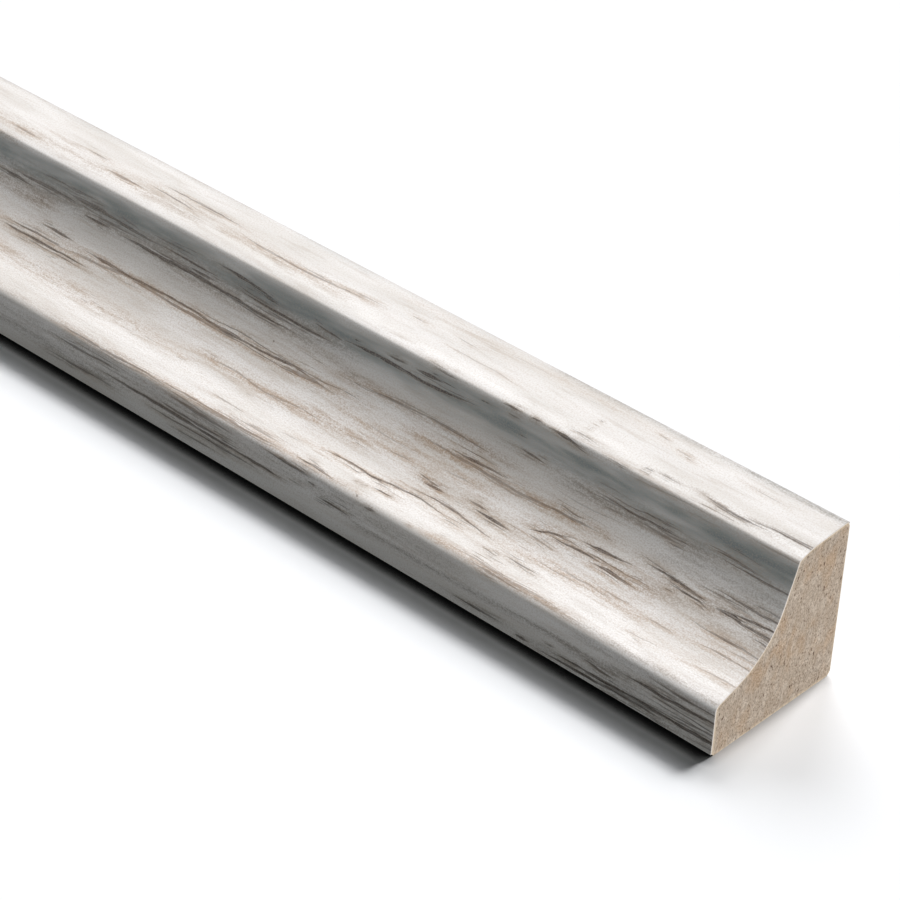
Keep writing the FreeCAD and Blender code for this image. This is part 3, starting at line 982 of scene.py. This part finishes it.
def mdfMaterial():
    paint = mdfPaint
    made, node = newMaterial("mdfSawnFibre")
    colour = {name: linear(value) for name, value in paint["colours"].items()}
    coords = node("TexCoord").outputs["Object"]

    # the fibre mats lean a little off upright, so the space is turned about the bar before it is stretched
    lean = {"Vector": coords, "Angle": math.radians(paint["lean"])}
    turned = node("VectorRotate", lean, rotation_type="X_AXIS")
    noises = addNoises(node, turned, paint["noises"], mm)
    body = colour["grey"]
    for source, *values, over in paint["layers"]:
        share = node("MapRange", (noises[source], *values), **smooth)
        body = node("Mix", {0: share, 6: body, 7: colour[over]}, data_type="RGBA")

    # the painted edge highlight shows at the two sawn faces alone
    rim = node("Attribute", attribute_name="rim").outputs["Fac"]
    reach = node("SeparateXYZ", [coords])
    reach = node("Math", [reach], operation="ABSOLUTE")
    start, full = ((section["length"] / 2 - depth) * mm for depth in paint["edgeHighlightDepth"])
    sawn = node("MapRange", (reach, start, full, 0.0, rim), **smooth)
    edgeHighlight = node("MapRange", (noises["mat"], *paint["edgeHighlight"]), **smooth)
    edgeHighlight = node("Math", (sawn, edgeHighlight), operation="MULTIPLY")
    body = node("Mix", {0: edgeHighlight, 6: body, 7: colour["rim"]}, data_type="RGBA")

    nap = node("Math", (noises["mat"], noises["fuzz"]), operation="ADD")
    bump = {"Strength": paint["napStrength"], "Distance": paint["nap"] * mm, "Height": nap}
    shader = node("BsdfPrincipled", {
        "Base Color": body,
        "Roughness": paint["roughness"],
        "Specular IOR Level": paint["sheen"],
        "Normal": node("Bump", bump),
    })
    node("OutputMaterial", [shader])
    return made


foilPiece = makeFoil()
foilPiece.data.materials.append(foilMaterial())
smoothSides(foilPiece, 40)
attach(foilPiece, "root")
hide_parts("foil_wrap")
print("foil:", len(foilPiece.data.polygons), "faces")

corePiece = makeCore()
corePiece.data.materials.append(mdfMaterial())
smoothSides(corePiece, 40)
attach(corePiece, "root")
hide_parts("mdf_core")
print("core:", len(corePiece.data.polygons), "faces")


# Floor, light and camera

stage = {
    "floorSize": 14.0,
    "floorColour": "#ffffff",  # what the camera sees
    "floorBounce": "#7c7c7c",  # what the floor throws back onto the bar
    "contactReach": 1.7,       # mm of floor over which a contact shadow is painted into its colour, where the bar keeps off the light from behind it
    "contactFrom": 0.56,
    "contactLeast": 0.02,
    "contactSide": (0.25, 0.968, 0.0),
    "ambient": 0.04,
    "ambientColour": (0.90, 0.99, 1.0, 1.0),
    "backdrop": (1.0, 1.0, 1.0, 1.0),
    # strength, direction that the light comes from, angular size in degrees, colour
    "barLamps": [
        ("keyRight", 1.72, (0.42, 0.284, 0.862), 15.0, (1.0, 1.0, 1.0)),
        ("keyLeft", 1.58, (-0.52, 0.245, 0.82), 15.0, (1.0, 1.0, 1.0)),
        ("endFill", 1.75, (0.95, 0.20, 0.12), 30.0, (1.0, 1.0, 1.0)),
        ("frontFill", 0.59, (0.0, -0.96, 0.27), 60.0, (0.955, 1.0, 0.99)),
    ],
    "floorLamps": [
        ("floorKey", 2.72, (0.0, 0.63, 0.777), 18.0, (0.98, 0.985, 1.0)),
        ("floorSide", 1.45, (-0.51, 0.50, 0.69), 28.0, (0.95, 0.965, 1.0)),
        ("floorFill", 0.16, (0.3, -0.85, 0.43), 60.0, (0.90, 0.95, 1.0)),
    ],
}


# 1 for the rays that should meet a white room: the camera's, and those of gloss and glass.
def seesBackdrop(node):
    rays = node("LightPath").outputs
    direct = node("Math", (rays["Is Camera Ray"], rays["Is Glossy Ray"]), operation="MAXIMUM")
    return node("Math", (direct, rays["Is Transmission Ray"]), operation="MAXIMUM")


def makeFloor():
    half = stage["floorSize"] / 2
    corners = [(-half, -half, 0), (half, -half, 0), (half, half, 0), (-half, half, 0)]
    floor = makeObject("floor", corners, [(0, 1, 2, 3)])
    made, node = newMaterial("whitePaperFloor")
    # painted contact shadow: an Ambient Occlusion node darkens the floor's colour toward black near the bar
    side = node("CombineXYZ", stage["contactSide"])
    reach = {"Distance": stage["contactReach"] * mm, "Normal": side}
    paintedContactShadow = node("AmbientOcclusion", reach, samples=16).outputs["AO"]
    shade = node("MapRange", (paintedContactShadow, stage["contactFrom"], 1.0, stage["contactLeast"], 1.0))
    black, white = linear("#000000"), linear(stage["floorColour"])
    seen = node("Mix", {0: shade, 6: black, 7: white}, data_type="RGBA")
    bounce = linear(stage["floorBounce"])
    colour = node("Mix", {0: seesBackdrop(node), 6: bounce, 7: seen}, data_type="RGBA")
    shader = node("BsdfDiffuse", {"Color": colour})
    node("OutputMaterial", [shader])
    floor.data.materials.append(made)
    return floor


def makeWorld():
    world = bpy.data.worlds.new("softRoom")
    bpy.context.scene.world = world
    world.use_nodes = True
    world.node_tree.nodes.clear()
    node = partial(addNode, world.node_tree)
    seen = seesBackdrop(node)
    level = node("MapRange", (seen, 0.0, 1.0, stage["ambient"], 1.0))
    colours = {0: seen, 6: stage["ambientColour"], 7: stage["backdrop"]}
    colour = node("Mix", colours, data_type="RGBA")
    back = node("Background", {"Color": colour, "Strength": level})
    node("OutputWorld", [back])


def makeSun(name, strength, towards, size, colour, receivers):
    data = bpy.data.lights.new(name, "SUN")
    data.energy = strength
    data.angle = math.radians(size)
    data.color = colour
    lamp = bpy.data.objects.new(name, data)
    lamp.rotation_euler = Vector(towards).to_track_quat("Z", "Y").to_euler()
    bpy.context.scene.collection.objects.link(lamp)
    lit = bpy.data.collections.new(name + "Lit")
    for piece in receivers:
        lit.objects.link(piece)
    lamp.light_linking.receiver_collection = lit


floor = makeFloor()
makeWorld()
for settings in stage["barLamps"]:
    makeSun(*settings, [foilPiece, corePiece])
for settings in stage["floorLamps"]:
    makeSun(*settings, [floor])
print("stage: floor, room and lamps")

view = {
    "eye": (1337.26, -204.218, 192.888),     # mm
    "azimuth": 41.617,                       # degrees round from the front, towards the sawn end
    "elevation": 33.806,
    "roll": 2.847,
    "lens": 125.314,                         # mm
    "sensor": 36.0,                          # mm
    "clip": (0.01, 50.0),                    # m
}


def makeCamera():
    a, e, r = (math.radians(view[k]) for k in ("azimuth", "elevation", "roll"))
    back = Vector((math.sin(a) * math.cos(e), -math.cos(a) * math.cos(e), math.sin(e)))
    level = (-back).cross(Vector((0, 0, 1))).normalized()
    upright = level.cross(-back)
    right = level * math.cos(r) + upright * math.sin(r)
    up = upright * math.cos(r) - level * math.sin(r)
    data = bpy.data.cameras.new("photoCamera")
    data.lens = view["lens"]
    data.sensor_width = view["sensor"]
    data.clip_start, data.clip_end = view["clip"]
    camera = bpy.data.objects.new("photoCamera", data)
    turned = Matrix((right, up, back)).transposed().to_4x4()
    camera.matrix_world = Matrix.Translation(Vector(view["eye"]) * mm) @ turned
    bpy.context.scene.collection.objects.link(camera)
    bpy.context.scene.camera = camera


makeCamera()
bpy.context.scene.view_settings.view_transform = "Standard"
print("camera: set from the long edges and the sawn end")
